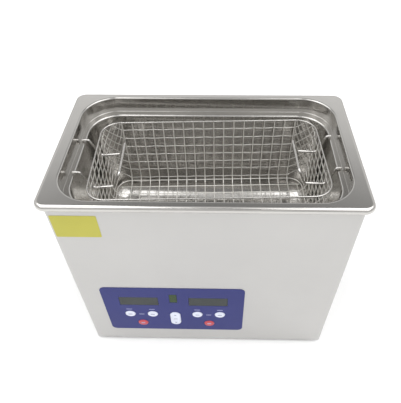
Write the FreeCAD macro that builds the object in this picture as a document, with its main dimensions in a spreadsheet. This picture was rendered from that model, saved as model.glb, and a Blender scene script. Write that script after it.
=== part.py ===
import FreeCAD, Part
import math
import os
import Sketcher

Vector = FreeCAD.Vector
Rotation = FreeCAD.Rotation
Placement = FreeCAD.Placement

doc = FreeCAD.newDocument("ultrasonic_cleaner")

# ---------------------------------------------------------------- driving dimensions, in millimetres
DIMENSIONS = {
    # whole machine
    "rim_width": 330.0,
    "rim_depth": 195.0,
    "total_height": 280.0,
    "foot_height": 5.0,
    "sheet": 1.0,
    "fit_gap": 0.2,
    # tank
    "rim_corner": 12.0,
    "rim_roll": 8.3,
    "rim_roll_radius": 4.0,
    "rim_lip_inset": 3.6,
    "opening_width": 298.0,
    "opening_depth": 174.0,
    "opening_corner": 37.0,
    "step_depth": 19.5,
    "well_width": 286.0,
    "well_depth": 156.0,
    "well_corner": 34.0,
    "well_floor": 130.0,
    "well_floor_radius": 27.0,
    "opening_edge_radius": 2.0,
    "ledge_edge_radius": 2.0,
    # housing
    "housing_width": 313.0,
    "housing_depth": 187.0,
    "housing_corner": 4.0,
    "back_return": 12.5,
    "side_lip": 12.0,
    "foot_diameter": 20.0,
    "foot_x": 130.0,
    "foot_y": 70.0,
    # control panel
    "panel_x": -41.5,
    "panel_z": 83.2,
    "panel_width": 176.0,
    "panel_tall": 102.5,
    "panel_corner": 7.0,
    "panel_skin": 0.5,
    "display_offset": 43.3,
    "display_z": 104.0,
    "display_width": 48.0,
    "display_tall": 18.0,
    "indicator_width": 9.0,
    "indicator_tall": 18.0,
    "indicator_z": 111.0,
    "key_diameter": 13.0,
    "key_gap": 0.35,
    "key_z": 73.0,
    "key_inner_offset": 29.0,
    "key_outer_offset": 58.0,
    "red_key_offset": 44.0,
    "red_key_z": 50.0,
    "key_proud": 1.0,
    "tall_key_width": 13.4,
    "tall_key_tall": 31.0,
    "tall_key_z": 62.0,
    "board_y": -84.0,
    "board_thick": 1.6,
    # sticker
    "sticker_x": -129.3,
    "sticker_z": 247.5,
    "sticker_width": 47.0,
    "sticker_tall": 33.0,
    # basket
    "basket_x": 2.5,
    "basket_y": 3.5,
    "basket_turn": 2.1,
    "basket_half_length": 130.4,
    "basket_half_width": 66.0,
    "basket_corner": 21.6,
    "basket_floor": 160.0,
    "basket_top": 258.0,
    "mesh_wire": 1.4,
    "mesh_pitch_x": 12.7,
    "mesh_pitch_y": 13.3,
    "mesh_first_row": 167.0,
    "rim_wire": 2.0,
    "handle_wire": 3.0,
    "handle_half_width": 27.7,
    "handle_grip_x": 98.7,
    "handle_grip_z": 258.5,
    "handle_elbow_x": 106.0,
    "handle_elbow_z": 240.5,
    "handle_knee_x": 130.2,
    "handle_knee_z": 238.5,
    "left_hook_x": 141.1,
    "left_tip_x": 148.5,
    "right_hook_x": 138.7,
    "right_tip_x": 143.5,
    # transducers
    "transducer_pitch": 85.0,
    "front_mass_top": 58.0,
    "front_mass_low": 40.0,
    "front_mass_tall": 28.0,
    "piezo_diameter": 38.0,
    "piezo_bore": 14.0,
    "piezo_thick": 5.0,
    "electrode_thick": 0.4,
    "back_mass_tall": 20.0,
    "bolt_diameter": 10.0,
    # rear panel parts
    "inlet_x": -110.0,
    "inlet_z": 52.0,
    "fan_x": 95.0,
    "fan_z": 62.0,
    "fan_side": 60.0,
    "fan_thick": 15.0,
    # generator
    "generator_x": -75.0,
    "generator_y": -25.0,
    "generator_long": 130.0,
    "generator_wide": 90.0,
    "spacer_height": 8.0,
}

dims = doc.addObject("Spreadsheet::Sheet", "dims")
for row, (alias, number) in enumerate(DIMENSIONS.items(), start=1):
    dims.set(f"A{row}", alias)
    dims.set(f"B{row}", str(number))
    dims.setAlias(f"B{row}", alias)
doc.recompute()


def size(alias):
    """Number in the sheet's cell of this alias."""
    return float(dims.get(alias))


# ---------------------------------------------------------------- formulas that several pieces share
HALF_DEPTH = "(dims.housing_depth / 2)"
TOP = "dims.total_height"
LEDGE = "(dims.total_height - dims.step_depth)"
SKIRT = "(dims.total_height - dims.rim_roll)"
BASE = "dims.foot_height"
DECK = "(dims.foot_height + dims.sheet)"
FRONT = "(-dims.housing_depth / 2)"
FRONT_INSIDE = "(-dims.housing_depth / 2 + dims.sheet)"
FILM = "(-dims.housing_depth / 2 - dims.panel_skin)"
REAR = "(dims.housing_depth / 2 + 0.1)"
REAR_OUTSIDE = "(dims.housing_depth / 2 + 0.1 + dims.sheet)"

NODES = []


def node(thing, label):
    """Make a document object one of the sub-parts that are written out."""
    thing.Label = label
    NODES.append(thing)
    return thing


# ---------------------------------------------------------------- building blocks
def centred(middle, length):
    """Span of a length about a middle, as (low, high) formulas."""
    return (f"({middle}) - ({length}) / 2", f"({middle}) + ({length}) / 2")


def block(name, x, y, z):
    """Box over three (low, high) spans, each end a number or a formula."""
    box = doc.addObject("Part::Box", name)
    for side, axis, (low, high) in zip(("Length", "Width", "Height"), "xyz", (x, y, z)):
        box.setExpression(side, f"({high}) - ({low})")
        box.setExpression(f"Placement.Base.{axis}", f"{low}")
    return box


TURN_Z_TO = {
    "x": Rotation(Vector(0, 1, 0), 90),
    "y": Rotation(Vector(1, 0, 0), -90),
    "z": Rotation(),
}


def rod(name, along, centre, span, diameter):
    """Round bar along an axis; centre holds its other two coordinates in x, y, z order."""
    cylinder = doc.addObject("Part::Cylinder", name)
    cylinder.Placement = Placement(Vector(), TURN_Z_TO[along])
    cylinder.setExpression("Radius", f"({diameter}) / 2")
    cylinder.setExpression("Height", f"({span[1]}) - ({span[0]})")
    others = [axis for axis in "xyz" if axis != along]
    cylinder.setExpression(f"Placement.Base.{along}", f"{span[0]}")
    for axis, place in zip(others, centre):
        cylinder.setExpression(f"Placement.Base.{axis}", f"{place}")
    return cylinder


def fuse(name, *parts):
    union = doc.addObject("Part::MultiFuse", name)
    union.Shapes = list(parts)
    union.Refine = True
    return union


def cut(name, base, *tools):
    tool = tools[0]
    if len(tools) > 1:
        tool = doc.addObject("Part::MultiFuse", name + "_tools")
        tool.Shapes = list(tools)
    difference = doc.addObject("Part::Cut", name)
    difference.Base = base
    difference.Tool = tool
    difference.Refine = True
    return difference


def common(name, first, second):
    overlap = doc.addObject("Part::Common", name)
    overlap.Base = first
    overlap.Tool = second
    return overlap


def together(name, *parts):
    """Separate solids that share one node."""
    compound = doc.addObject("Part::Compound", name)
    compound.Links = list(parts)
    return compound


def coded(name, shape):
    """Piece whose shape comes from Part's own functions."""
    feature = doc.addObject("Part::Feature", name)
    feature.Shape = shape
    return feature


def origin_plane(body, role):
    return [feature for feature in body.Origin.OriginFeatures if feature.Role == role][0]


def new_sketch(body, name, height="0", plane="XY_Plane"):
    sketch = body.newObject("Sketcher::SketchObject", name)
    sketch.AttachmentSupport = (origin_plane(body, plane), [""])
    sketch.MapMode = "FlatFace"
    sketch.setExpression("AttachmentOffset.Base.z", f"{height}")
    return sketch


def measure(sketch, direction, geometry, point, formula):
    """Signed distance of a point from the sketch's origin, bound to the sheet."""
    index = sketch.addConstraint(Sketcher.Constraint(direction, -1, 1, geometry, point, 1.0))
    sketch.setExpression(f"Constraints[{index}]", f"{formula}")


def draw_rectangle(sketch, x, y):
    """Four lines over the spans x and y."""
    corners = [Vector(-1, -1, 0), Vector(1, -1, 0), Vector(1, 1, 0), Vector(-1, 1, 0)]
    first = sketch.GeometryCount
    for start, end in zip(corners, corners[1:] + corners[:1]):
        sketch.addGeometry(Part.LineSegment(start, end), False)
    for side in range(4):
        sketch.addConstraint(Sketcher.Constraint("Coincident", first + side, 2, first + (side + 1) % 4, 1))
        kind = "Horizontal" if side % 2 == 0 else "Vertical"
        sketch.addConstraint(Sketcher.Constraint(kind, first + side))
    measure(sketch, "DistanceX", first, 1, x[0])
    measure(sketch, "DistanceY", first, 1, y[0])
    measure(sketch, "DistanceX", first + 1, 2, x[1])
    measure(sketch, "DistanceY", first + 1, 2, y[1])


def draw_circle(sketch, diameter, x="0", y="0"):
    circle = sketch.addGeometry(Part.Circle(Vector(1, 1, 0), Vector(0, 0, 1), 1), False)
    index = sketch.addConstraint(Sketcher.Constraint("Radius", circle, 1.0))
    sketch.setExpression(f"Constraints[{index}]", f"({diameter}) / 2")
    measure(sketch, "DistanceX", circle, 3, x)
    measure(sketch, "DistanceY", circle, 3, y)


def pad(body, sketch, length, name):
    feature = body.newObject("PartDesign::Pad", name)
    feature.Profile = sketch
    feature.setExpression("Length", f"{length}")
    return feature


def fillet_edges(body, base, radius, chosen, name):
    """Round the edges of a feature that the test function chooses."""
    doc.recompute()
    edges = enumerate(base.Shape.Edges, start=1)
    names = [f"Edge{index}" for index, edge in edges if chosen(edge)]
    feature = body.newObject("PartDesign::Fillet", name)
    feature.Base = (base, names)
    feature.setExpression("Radius", f"{radius}")
    return feature


def is_upright(edge):
    box = edge.BoundBox
    return box.XLength < 0.001 and box.YLength < 0.001


def lies_at(height):
    return lambda edge: edge.BoundBox.ZLength < 0.001 and abs(edge.BoundBox.ZMin - height) < 0.001


def slab(name, x, y, z, corner=None, low_round=None, high_round=None, along="z"):
    """Padded rectangle with rounded corners, and rounded rims at its two ends.

    Along z the rectangle is in x and y; along y it is in x and z, seen from the front.
    """
    body = doc.addObject("PartDesign::Body", name)
    across, up, thick = x, y, z
    if along == "y":
        up = (f"-({z[1]})", f"-({z[0]})")
        thick = y
        body.Placement = Placement(Vector(), TURN_Z_TO["y"])
    sketch = new_sketch(body, name + "_outline", thick[0])
    draw_rectangle(sketch, across, up)
    feature = pad(body, sketch, f"({thick[1]}) - ({thick[0]})", name + "_pad")
    if corner is not None:
        feature = fillet_edges(body, feature, corner, is_upright, name + "_corners")
    doc.recompute()
    ends = feature.Shape.BoundBox
    if low_round is not None:
        feature = fillet_edges(body, feature, low_round, lies_at(ends.ZMin), name + "_low_round")
    if high_round is not None:
        feature = fillet_edges(body, feature, high_round, lies_at(ends.ZMax), name + "_high_round")
    body.Tip = feature
    return body


def soften(name, base, radius, chosen):
    """Part fillet on the edges that the test function chooses."""
    doc.recompute()
    feature = doc.addObject("Part::Fillet", name)
    feature.Base = base
    edges = enumerate(base.Shape.Edges, start=1)
    feature.Edges = [(index, radius, radius) for index, edge in edges if chosen(edge)]
    return feature


def bend_path(points, radii):
    """Straight runs through the points, joined by tangent arcs at the inner points."""
    edges = []
    start = points[0]
    for before, corner, after, radius in zip(points, points[1:], points[2:], radii):
        arriving = (corner - before).normalize()
        leaving = (after - corner).normalize()
        turn = arriving.getAngle(leaving)
        setback = radius * math.tan(turn / 2)
        arc_start = corner - arriving * setback
        arc_end = corner + leaving * setback
        inward = (leaving - arriving).normalize()
        centre = corner + inward * (radius / math.cos(turn / 2))
        arc_middle = centre - inward * radius
        if (arc_start - start).Length > 0.001:
            edges.append(Part.LineSegment(start, arc_start).toShape())
        edges.append(Part.Arc(arc_start, arc_middle, arc_end).toShape())
        start = arc_end
    edges.append(Part.LineSegment(start, points[-1]).toShape())
    return Part.Wire(edges)


def tube_along(path, diameter):
    """Round rod swept along a path."""
    first = path.OrderedEdges[0]
    start = first.valueAt(first.FirstParameter)
    direction = first.tangentAt(first.FirstParameter)
    section = Part.Wire(Part.makeCircle(diameter / 2, start, direction))
    return path.makePipeShell([section], True, True)


def soft_route(points):
    """Path with arcs as large as its runs allow."""
    radii = []
    for before, corner, after in zip(points, points[1:], points[2:]):
        shorter = min((corner - before).Length, (after - corner).Length)
        turn = (corner - before).getAngle(after - corner)
        radii.append(0.45 * shorter / math.tan(turn / 2))
    return bend_path(points, radii)


# ---------------------------------------------------------------- tank with its rim
def build_tank():
    """Deep-drawn pan: rolled edge, flange, step, ledge and well in one sheet."""
    sheet = "dims.sheet"
    rim = slab("rim_outside", centred(0, "dims.rim_width"), centred(0, "dims.rim_depth"), (SKIRT, TOP),
               "dims.rim_corner", "dims.rim_roll_radius", "dims.rim_roll_radius")
    hollow_width = f"dims.rim_width - 2 * {sheet}"
    hollow_depth = f"dims.rim_depth - 2 * {sheet}"
    hollow = slab("rim_inside", centred(0, hollow_width), centred(0, hollow_depth),
                  (f"{SKIRT} + {sheet}", f"{TOP} - {sheet}"), f"dims.rim_corner - {sheet}",
                  f"dims.rim_roll_radius - {sheet}", f"dims.rim_roll_radius - {sheet}")
    mouth_width = "dims.rim_width - 2 * dims.rim_lip_inset"
    mouth_depth = "dims.rim_depth - 2 * dims.rim_lip_inset"
    mouth = slab("rim_mouth", centred(0, mouth_width), centred(0, mouth_depth),
                 (f"{SKIRT} - 1", f"{SKIRT} + dims.rim_roll / 2"), "dims.rim_corner - dims.rim_lip_inset")
    curled = cut("curled_rim", rim, hollow, mouth)
    step = slab("step_outside", centred(0, f"dims.opening_width + 2 * {sheet}"),
                centred(0, f"dims.opening_depth + 2 * {sheet}"), (f"{LEDGE} - {sheet}", TOP),
                f"dims.opening_corner + {sheet}", "2")
    well = slab("well_outside", centred(0, f"dims.well_width + 2 * {sheet}"),
                centred(0, f"dims.well_depth + 2 * {sheet}"), (f"dims.well_floor - {sheet}", LEDGE),
                f"dims.well_corner + {sheet}", f"dims.well_floor_radius + {sheet}")
    solid = fuse("tank_solid", curled, step, well)
    opening = slab("opening", centred(0, "dims.opening_width"), centred(0, "dims.opening_depth"),
                   (LEDGE, f"{TOP} + 5"), "dims.opening_corner", "1.0")
    cavity = slab("well_cavity", centred(0, "dims.well_width"), centred(0, "dims.well_depth"),
                  ("dims.well_floor", f"{LEDGE} + 5"), "dims.well_corner", "dims.well_floor_radius")
    pan = cut("tank_pan", solid, opening, cavity)
    top = size("total_height")
    ledge = top - size("step_depth")

    def on_loop(edge, height, width):
        box = edge.BoundBox
        flat = box.ZLength < 0.001 and abs(box.ZMin - height) < 0.001
        return flat and max(abs(box.XMin), abs(box.XMax)) < width / 2 + 0.01

    edged = soften("tank_edged", pan, size("opening_edge_radius"),
                   lambda edge: on_loop(edge, top, size("opening_width")))
    tank = soften("tank_shape", edged, size("ledge_edge_radius"),
                  lambda edge: on_loop(edge, ledge, size("well_width")))
    node(tank, "tank")


build_tank()


# ---------------------------------------------------------------- housing
def key_places():
    """Centre offsets of the round keys from the panel's centre, with their height."""
    inner, outer = "dims.key_inner_offset", "dims.key_outer_offset"
    row = [f"-{outer}", f"-{inner}", inner, outer]
    return [(f"dims.panel_x + {offset}", "dims.key_z") for offset in row]


def red_key_places():
    return [(f"dims.panel_x {sign} dims.red_key_offset", "dims.red_key_z") for sign in "-+"]


def display_places():
    return [(f"dims.panel_x {sign} dims.display_offset", "dims.display_z") for sign in "-+"]


def panel_openings(name, depth, gap):
    """Solids that open a skin for the displays, the indicator and every key."""
    tools = []
    for index, (x, z) in enumerate(display_places()):
        tools.append(block(f"{name}_display_{index}", centred(x, f"dims.display_width + 2 * {gap}"),
                           depth, centred(z, f"dims.display_tall + 2 * {gap}")))
    tools.append(block(f"{name}_indicator", centred("dims.panel_x", f"dims.indicator_width + 2 * {gap}"),
                       depth, centred("dims.indicator_z", f"dims.indicator_tall + 2 * {gap}")))
    for index, (x, z) in enumerate(key_places() + red_key_places()):
        tools.append(rod(f"{name}_key_{index}", "y", (x, z), depth, f"dims.key_diameter + 2 * {gap}"))
    width = f"dims.tall_key_width + 2 * {gap}"
    tall = f"dims.tall_key_tall + 3 * {gap}"
    tools.append(slab(f"{name}_tall_key", centred("dims.panel_x", width), depth,
                      centred("dims.tall_key_z", tall), f"({width}) / 2 - 0.01", along="y"))
    return tools


REAR_SCREWS = [(x, z) for x in (-150, 150) for z in (24, 140, 256)]
SIDE_SCREW_Y = (-60, 60)
SIDE_SCREW_Z = 12
SCREW_HOLE = 3.1
FOOT_HOLE = 4.6
REAR_CUT = (f"{REAR} - 2", f"{REAR} + 4")
DECK_CUT = (f"{BASE} - 2", f"{DECK} + 2")
GRILLE_RINGS = 4
GRILLE_PITCH = 6.2
GRILLE_HOLE = 4.4
INLET_HOLE_WIDE = 28.6
INLET_HOLE_TALL = 51
SLOT_HEIGHTS = (200, 209, 218, 227, 236)
SLOT_LONG = 120
SLOT_TALL = 3.2
VENTS = 14
VENT_FIRST_X = -78
VENT_PITCH = 12
VENT_Y = 48
VENT_LONG = 40
VENT_WIDE = 4


def rear_screw_holes(name):
    return [rod(f"{name}_screw_{index}", "y", place, (f"{HALF_DEPTH} - 4", f"{REAR_OUTSIDE} + 2"), SCREW_HOLE)
            for index, place in enumerate(REAR_SCREWS)]


def side_screw_holes(name):
    """Each hole's tool runs through both side walls."""
    return [rod(f"{name}_side_{index}", "x", (y, SIDE_SCREW_Z), ("-170", "170"), SCREW_HOLE)
            for index, y in enumerate(SIDE_SCREW_Y)]


def build_housing():
    """One sheet folded round the front and sides, with returns that carry the rear panel."""
    wrap_top = f"{TOP} - dims.sheet - dims.fit_gap"
    outside = slab("wrap_outside", centred(0, "dims.housing_width"), centred(0, "dims.housing_depth"),
                   (BASE, wrap_top), "dims.housing_corner")
    inside = slab("wrap_inside", centred(0, "dims.housing_width - 2 * dims.sheet"),
                  centred(0, "dims.housing_depth - 2 * dims.sheet"), ("0", TOP),
                  "dims.housing_corner - dims.sheet")
    back_gap = block("wrap_back_gap", centred(0, "dims.housing_width - 2 * dims.back_return"),
                     (f"{HALF_DEPTH} - 3", f"{HALF_DEPTH} + 3"), ("0", TOP))
    front_cut = (f"{FRONT} - 2", f"{FRONT} + 3")
    openings = panel_openings("wrap", front_cut, "dims.key_gap")
    holes = rear_screw_holes("wrap") + side_screw_holes("wrap")
    node(cut("wrap", outside, inside, back_gap, *openings, *holes), "housing_shell")

    grille = [rod("grille_middle", "y", ("dims.fan_x", "dims.fan_z"), REAR_CUT, GRILLE_HOLE)]
    for ring in range(1, GRILLE_RINGS + 1):
        for step in range(6 * ring):
            angle = math.radians(step * 60 / ring)
            x = f"dims.fan_x + {ring * GRILLE_PITCH * math.cos(angle):.3f}"
            z = f"dims.fan_z + {ring * GRILLE_PITCH * math.sin(angle):.3f}"
            grille.append(rod(f"grille_{ring}_{step}", "y", (x, z), REAR_CUT, GRILLE_HOLE))
    rear = slab("rear_sheet", centred(0, "dims.housing_width - 4"), (REAR, REAR_OUTSIDE),
                (f"{BASE} + 2", f"{SKIRT} - 3"), "2", along="y")
    inlet_hole = block("inlet_hole", centred("dims.inlet_x", INLET_HOLE_WIDE), REAR_CUT,
                       centred("dims.inlet_z", INLET_HOLE_TALL))
    slots = [slab(f"rear_slot_{row}", centred(0, SLOT_LONG), REAR_CUT, centred(z, SLOT_TALL),
                  f"{SLOT_TALL} / 2 - 0.01", along="y") for row, z in enumerate(SLOT_HEIGHTS)]
    node(cut("rear_plate", rear, inlet_hole, *grille, *slots, *rear_screw_holes("rear")), "rear_panel")

    plate_x = centred(0, "dims.housing_width - 2 * dims.sheet - 2 * dims.fit_gap")
    plate_y = centred(0, "dims.housing_depth - 2 * dims.sheet - 2 * dims.fit_gap")
    tray = slab("tray_outside", plate_x, plate_y, (BASE, f"{DECK} + dims.side_lip"),
                "dims.housing_corner - dims.sheet")
    tray_inside = block("tray_inside", (f"{plate_x[0]} + dims.sheet", f"{plate_x[1]} - dims.sheet"),
                        ("-100", "100"), (DECK, f"{DECK} + 30"))
    vents = [slab(f"vent_{column}", centred(VENT_FIRST_X + column * VENT_PITCH, VENT_WIDE),
                  centred(VENT_Y, VENT_LONG), DECK_CUT, f"{VENT_WIDE} / 2 - 0.01")
             for column in range(VENTS)]
    foot_holes = [rod(f"foot_hole_{index}", "z", place, DECK_CUT, FOOT_HOLE)
                  for index, place in enumerate(foot_places())]
    node(cut("tray", tray, tray_inside, *vents, *foot_holes, *side_screw_holes("tray")), "bottom_plate")


FOOT_SCREW_SEAT = 2.6
FOOT_RECESS = 9.6


def foot_places():
    return [(f"{sx}dims.foot_x", f"{sy}dims.foot_y") for sy in ("-", "") for sx in ("-", "")]


def build_feet():
    """Four rubber feet, each with a recess that hides its screw's head."""
    names = ("front_left", "front_right", "rear_left", "rear_right")
    for name, (x, y) in zip(names, foot_places()):
        body = doc.addObject("PartDesign::Body", f"foot_{name}_body")
        outline = new_sketch(body, f"foot_{name}_outline")
        draw_circle(outline, "dims.foot_diameter", x, y)
        disc = pad(body, outline, BASE, f"foot_{name}_pad")
        body.Tip = fillet_edges(body, disc, 1.2, lies_at(0.0), f"foot_{name}_round")
        recess = rod(f"foot_{name}_recess", "z", (x, y), ("-1", FOOT_SCREW_SEAT), FOOT_RECESS)
        bore = rod(f"foot_{name}_bore", "z", (x, y), ("1", f"{BASE} + 1"), FOOT_HOLE)
        node(cut(f"foot_{name}_shape", body, recess, bore), f"foot_{name}")


def pan_screw(head_diameter, head_tall, shank_diameter, shank_long):
    """Cross-head screw along +Z: the head's underside is at 0 and the shank points down."""
    half_head = head_diameter / 2
    dome_start = Vector(half_head, 0, head_tall * 0.45)
    dome_middle = Vector(half_head * 0.72, 0, head_tall * 0.88)
    dome_end = Vector(0, 0, head_tall)
    outline = Part.Wire([
        Part.LineSegment(Vector(0, 0, 0), Vector(half_head, 0, 0)).toShape(),
        Part.LineSegment(Vector(half_head, 0, 0), dome_start).toShape(),
        Part.Arc(dome_start, dome_middle, dome_end).toShape(),
        Part.LineSegment(dome_end, Vector(0, 0, 0)).toShape(),
    ])
    head = Part.Face(outline).revolve(Vector(), Vector(0, 0, 1), 360)
    arm = head_diameter * 0.55
    blade = head_diameter * 0.13
    depth = head_tall * 0.5
    slot_a = Part.makeBox(arm, blade, head_tall, Vector(-arm / 2, -blade / 2, depth))
    slot_b = Part.makeBox(blade, arm, head_tall, Vector(-blade / 2, -arm / 2, depth))
    shank = Part.makeCylinder(shank_diameter / 2, shank_long, Vector(), Vector(0, 0, -1))
    return head.fuse(shank).cut(slot_a.fuse(slot_b))


def copies(name, shape, places):
    """One node of identical solids, each set at a position with +Z turned to a direction."""
    solids = []
    for position, direction in places:
        solid = shape.copy()
        solid.Placement = Placement(Vector(*position), Rotation(Vector(0, 0, 1), Vector(*direction)))
        solids.append(solid)
    return coded(name, Part.makeCompound(solids))


def build_case_screws():
    rear_y = size("housing_depth") / 2 + 0.1 + size("sheet")
    side_x = size("housing_width") / 2
    places = [((x, rear_y, z), (0, 1, 0)) for x, z in REAR_SCREWS]
    for side in (-1, 1):
        for y in SIDE_SCREW_Y:
            places.append(((side * side_x, y, SIDE_SCREW_Z), (side, 0, 0)))
    node(copies("case_screw_set", pan_screw(6.0, 1.8, 2.9, 4.0), places), "case_screws")
    foot_places_mm = []
    for x in (-size("foot_x"), size("foot_x")):
        for y in (-size("foot_y"), size("foot_y")):
            foot_places_mm.append(((x, y, FOOT_SCREW_SEAT), (0, 0, -1)))
    node(copies("foot_screw_set", pan_screw(7.6, 2.0, 3.9, 6.0), foot_places_mm), "foot_screws")


build_housing()
build_feet()
build_case_screws()


# ---------------------------------------------------------------- control panel
KEY_STEM = 4
AXLE = 2.4
AXLE_BORE = 3.0
AXLE_LONG = 20
TALL_KEY_STEMS = (-11, 11)
SWITCH_SIDE = 6
SWITCH_TOP = "(dims.board_y - 3.5)"
SWITCH_FACE = "(dims.board_y - 4)"
PLUNGER = 3.4


def build_panel():
    """Blue film with its windows, keys that pass through the sheet, and the board behind them."""
    skin = slab("film", centred("dims.panel_x", "dims.panel_width"), (FILM, FRONT),
                centred("dims.panel_z", "dims.panel_tall"), "dims.panel_corner", along="y")
    openings = panel_openings("film", (f"{FILM} - 1", f"{FRONT} + 1"), "dims.key_gap")
    node(cut("film_cut", skin, *openings), "panel_overlay")
    pane_y = (f"{FILM} + 0.1", f"{FRONT_INSIDE} + 1")
    for side, (x, z) in zip(("left", "right"), display_places()):
        pane = slab(f"pane_{side}", centred(x, "dims.display_width"), pane_y,
                    centred(z, "dims.display_tall"), "0.8", along="y")
        node(pane, f"display_window_{side}")
    node(slab("indicator_pane", centred("dims.panel_x", "dims.indicator_width"), pane_y,
              centred("dims.indicator_z", "dims.indicator_tall"), "0.8", along="y"), "indicator_window")
    node(slab("sticker_film", centred("dims.sticker_x", "dims.sticker_width"), (f"{FRONT} - 0.25", FRONT),
              centred("dims.sticker_z", "dims.sticker_tall"), "1.5", along="y"), "front_sticker")


def cap_key(name, x, z, label):
    """Round key: a crowned cap, a flange that keeps it behind the sheet, and a stem."""
    front = f"{FILM} - dims.key_proud"
    flange = (f"{FRONT_INSIDE} + 0.1", f"{FRONT_INSIDE} + 1.1")
    body = doc.addObject("PartDesign::Body", f"{name}_cap")
    body.Placement = Placement(Vector(), TURN_Z_TO["y"])
    outline = new_sketch(body, f"{name}_outline", front)
    draw_circle(outline, "dims.key_diameter", x, f"-({z})")
    disc = pad(body, outline, f"({flange[0]}) - ({front})", f"{name}_pad")
    doc.recompute()
    body.Tip = fillet_edges(body, disc, 0.5, lies_at(disc.Shape.BoundBox.ZMin), f"{name}_round")
    collar = rod(f"{name}_collar", "y", (x, z), flange, "dims.key_diameter + 3")
    stem = rod(f"{name}_stem", "y", (x, z), (flange[1], f"{SWITCH_FACE} - 0.65"), KEY_STEM)
    node(fuse(f"{name}_shape", body, collar, stem), label)


def build_keys():
    for index, (x, z) in enumerate(key_places(), start=1):
        cap_key(f"round_{index}", x, z, f"round_key_{index}")
    for side, (x, z) in zip(("left", "right"), red_key_places()):
        cap_key(f"red_{side}", x, z, f"red_key_{side}")
    width = "dims.tall_key_width"
    front = f"{FILM} - dims.key_proud"
    paddle = slab("tall_paddle", centred("dims.panel_x", width), (front, f"{FRONT} + 3.5"),
                  centred("dims.tall_key_z", "dims.tall_key_tall"), f"{width} / 2 - 0.01", "0.5", along="y")
    pivot_y = f"{FRONT} + 3.5"
    axle = rod("tall_axle", "x", (pivot_y, "dims.tall_key_z"), centred("dims.panel_x", AXLE_LONG), AXLE)
    stems = [rod(f"tall_stem_{index}", "y", ("dims.panel_x", f"dims.tall_key_z + {offset}"),
                 (f"{FRONT} + 3", f"{SWITCH_FACE} - 0.75"), KEY_STEM)
             for index, offset in enumerate(TALL_KEY_STEMS)]
    node(fuse("tall_key_shape", paddle, axle, *stems), "tall_key")
    cheeks = []
    for index, sign in enumerate("-+"):
        cheek = block(f"cheek_{index}", centred(f"dims.panel_x {sign} 9.2", 1.6),
                      (f"{FRONT} + 1.6", "dims.board_y"), centred("dims.tall_key_z", 8))
        cheeks.append(cheek)
    bar = block("cradle_bar", centred("dims.panel_x", AXLE_LONG), ("dims.board_y - 1", "dims.board_y"),
                centred("dims.tall_key_z", 8))
    bore = rod("cradle_bore", "x", (pivot_y, "dims.tall_key_z"), centred("dims.panel_x", 30), AXLE_BORE)
    node(cut("cradle", fuse("cradle_solid", *cheeks, bar), bore), "tall_key_cradle")


def build_control_board():
    board_y = ("dims.board_y", "dims.board_y + dims.board_thick")
    board = block("control_sheet", centred("dims.panel_x", 166), board_y, centred("dims.panel_z", 92))
    node(board, "control_board")
    for side, (x, z) in zip(("left", "right"), display_places()):
        face = slab(f"digits_{side}", centred(x, 40), ("dims.board_y - 6.9", "dims.board_y"),
                    centred(z, 16), "0.6", along="y")
        node(face, f"display_{side}")
    dome = rod("lamp_barrel", "y", ("dims.panel_x", "dims.indicator_z"), ("dims.board_y - 6", "dims.board_y"), 5)
    foot = rod("lamp_foot", "y", ("dims.panel_x", "dims.indicator_z"), ("dims.board_y - 1", "dims.board_y"), 5.8)
    node(fuse("lamp", dome, foot), "indicator_lamp")
    tall = [("dims.panel_x", f"dims.tall_key_z + {offset}") for offset in TALL_KEY_STEMS]
    switches = []
    for index, (x, z) in enumerate(key_places() + red_key_places() + tall):
        case = block(f"switch_case_{index}", centred(x, SWITCH_SIDE), (SWITCH_TOP, "dims.board_y"),
                     centred(z, SWITCH_SIDE))
        plunger = rod(f"switch_plunger_{index}", "y", (x, z), (SWITCH_FACE, SWITCH_TOP), PLUNGER)
        switches.append(fuse(f"switch_{index}", case, plunger))
    node(together("switch_set", *switches), "tact_switches")


build_panel()
build_keys()
build_control_board()


# ---------------------------------------------------------------- basket
ROWS = 7
SIDE_UPRIGHTS = 18
END_UPRIGHTS = 7
FLOOR_BARS_X = 20
FLOOR_BARS_Y = 10
QUARTERS = (0, 90, 180, 270)
CORNER_UPRIGHTS = (16, 45, 74)
HANDLE_BENDS = (2.5, 5.0, 5.0, 4.0)
HOOK_CLEARANCE = 0.25


def bars(name, spans, axis, first, pitch, count):
    """Square bars set side by side along an axis, each over the other two spans."""
    row = []
    for index in range(count):
        placed = dict(spans)
        placed[axis] = centred(f"{first} + {index} * {pitch}", "dims.mesh_wire")
        row.append(block(f"{name}_{axis}{index}", placed["x"], placed["y"], placed["z"]))
    return row


def centred_bars(name, spans, axis, middle, pitch, count):
    return bars(name, spans, axis, f"{middle} - {pitch} * {(count - 1) / 2}", pitch, count)


def basket_node(thing, label):
    """Node of the basket, which hangs a little off the tank's middle and a little turned."""
    place = Vector(size("basket_x"), size("basket_y"), 0)
    thing.Placement = Placement(place, Rotation(Vector(0, 0, 1), size("basket_turn")))
    return node(thing, label)


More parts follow.
